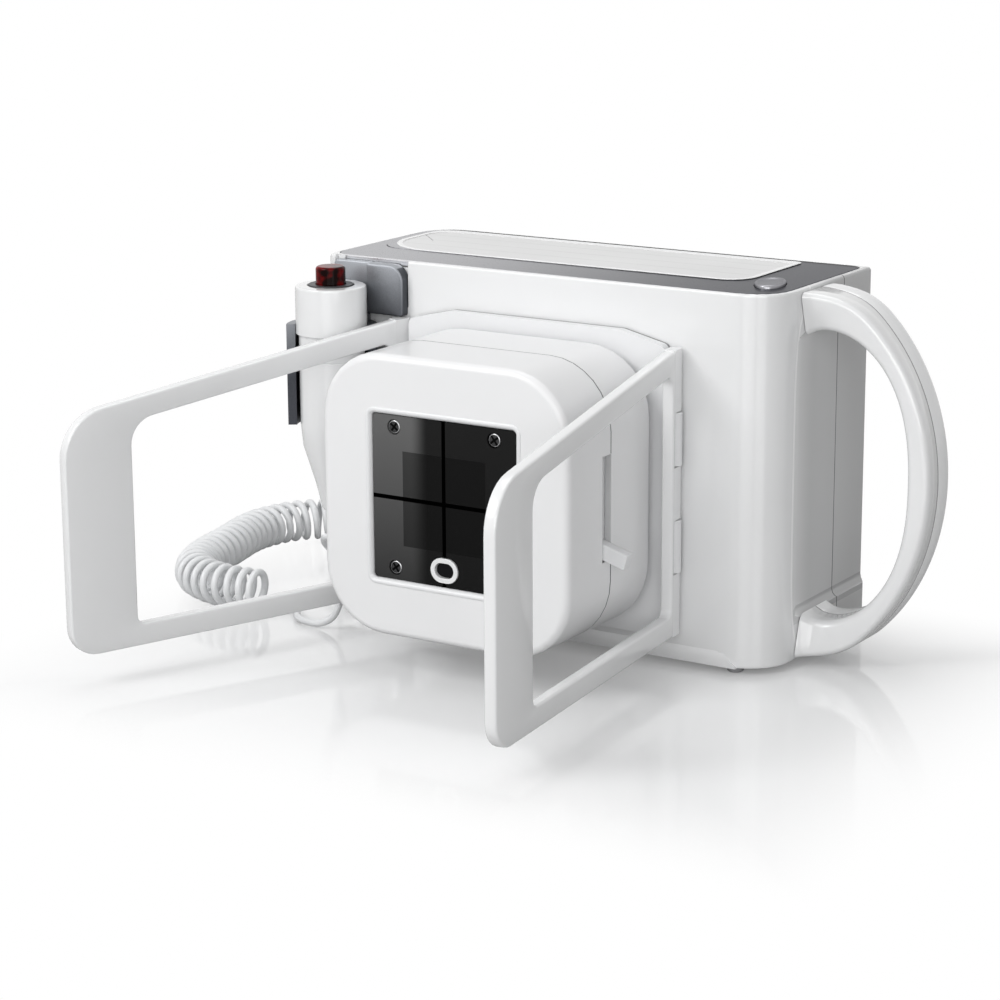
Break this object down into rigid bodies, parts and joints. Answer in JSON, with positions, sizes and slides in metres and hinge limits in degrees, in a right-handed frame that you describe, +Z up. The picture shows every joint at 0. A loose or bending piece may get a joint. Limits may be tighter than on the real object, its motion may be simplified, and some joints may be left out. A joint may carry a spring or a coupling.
{
  "type": "portable x-ray unit",
  "caption": "Hand-carried X-ray unit: a box housing with a carrying handle, a light-field collimator with lever-set shutters, hinged spacer frames and a corded hand switch in a clip.",
  "frame": {"origin": "middle of the unit's plan at table level, measured without its cord", "axes": "+X towards the carrying handle, +Y from the collimator towards the back of the housing, +Z up; the beam leaves along -Y"},
  "size_m": [0.3369, 0.2489, 0.1473],
  "materials": {
    "white_gloss": "moulded, polished",
    "white_satin": "satin",
    "silver_trim": "fine metallic lacquer",
    "blue_grey": "metallic lacquer",
    "grey_plastic": "satin",
    "black_plastic": "satin",
    "steel": "bright",
    "tank_metal": "bare",
    "tube_glass": "clear",
    "dark_acrylic": "polished, see-through in the real one",
    "red_plastic": "polished, tinted",
    "mirror_face": "silvered",
    "lamp_plastic": "plain",
    "board": "lacquered"
  },
  "bodies": {
    "unit": {"front_shell": "white_gloss", "rear_shell": "white_gloss", "handle_front": "white_gloss", "handle_rear": "white_gloss", "switch_body": "white_gloss", "switch_cap": "white_gloss", "port_bezel": "white_gloss", "cord_coil": "white_gloss", "cord_tail": "white_gloss", "cord_lead": "white_gloss", "collimator_front_cover": "white_satin", "collimator_rear_cover": "white_satin", "collimator_mount": "white_satin", "top_panel": "white_satin", "switch_strain_relief": "white_satin", "cord_plug": "white_satin", "top_trim": "silver_trim", "switch_cradle": "blue_grey", "collimator_collar": "grey_plastic", "foot_front_left": "grey_plastic", "foot_front_right": "grey_plastic", "foot_rear_left": "grey_plastic", "foot_rear_right": "grey_plastic", "aperture_plate": "black_plastic", "cord_socket": "black_plastic", "switch_collar": "black_plastic", "battery_pack": "black_plastic", "port_lens": "black_plastic", "hinge_pin_right": "steel", "hinge_pin_left": "steel", "window_screw_1": "steel", "window_screw_2": "steel", "window_screw_3": "steel", "window_screw_4": "steel", "tube_head": "tank_metal", "xray_tube": "tube_glass", "window": "dark_acrylic", "mirror": "mirror_face", "lamp": "lamp_plastic", "control_board": "board"},
    "spacer_right": {"spacer_frame_right": "white_gloss"},
    "spacer_left": {"spacer_frame_left": "white_gloss"},
    "field_selector": {"cam_ring": "steel", "field_lever": "white_satin"},
    "blade_right": {"shutter_right": "black_plastic"},
    "blade_left": {"shutter_left": "black_plastic"},
    "blade_top": {"shutter_top": "black_plastic"},
    "blade_bottom": {"shutter_bottom": "black_plastic"},
    "power_key": {"power_button": "silver_trim"},
    "exposure_key": {"exposure_button": "red_plastic"}
  },
  "joints": [
    {"name": "spacer_right_hinge", "type": "hinge", "parent": "unit", "child": "spacer_right", "pos_m": [0.04702, 0.03055, 0.069], "axis": [0, 0, 1], "range_deg": [-5.5, 75]},
    {"name": "spacer_left_hinge", "type": "hinge", "parent": "unit", "child": "spacer_left", "pos_m": [-0.07538, 0.03055, 0.069], "axis": [0, 0, 1], "range_deg": [-1, 23.5]},
    {"name": "field_lever_turn", "type": "hinge", "parent": "unit", "child": "field_selector", "pos_m": [-0.01418, -0.00769, 0.06982], "axis": [0, -1, 0], "range_deg": [0, 33]},
    {"name": "blade_right_slide", "type": "slide", "parent": "unit", "child": "blade_right", "axis": [-1, 0, 0], "range_m": [0, 0.01]},
    {"name": "blade_left_slide", "type": "slide", "parent": "unit", "child": "blade_left", "axis": [1, 0, 0], "range_m": [0, 0.01]},
    {"name": "blade_top_slide", "type": "slide", "parent": "unit", "child": "blade_top", "axis": [0, 0, -1], "range_m": [0, 0.01]},
    {"name": "blade_bottom_slide", "type": "slide", "parent": "unit", "child": "blade_bottom", "axis": [0, 0, 1], "range_m": [0, 0.01]},
    {"name": "power_button_press", "type": "slide", "parent": "unit", "child": "power_key", "axis": [0, 0, -1], "range_m": [0, 0.0007], "stiffness_N_per_m": 1500},
    {"name": "exposure_button_press", "type": "slide", "parent": "unit", "child": "exposure_key", "axis": [0, 0, -1], "range_m": [0, 0.003], "stiffness_N_per_m": 700}
  ],
  "couplings": [
    {"joint": "blade_right_slide", "follows": "field_lever_turn", "m_per_rad": 0.017362},
    {"joint": "blade_left_slide", "follows": "field_lever_turn", "m_per_rad": 0.017362},
    {"joint": "blade_top_slide", "follows": "field_lever_turn", "m_per_rad": 0.017362},
    {"joint": "blade_bottom_slide", "follows": "field_lever_turn", "m_per_rad": 0.017362}
  ]
}
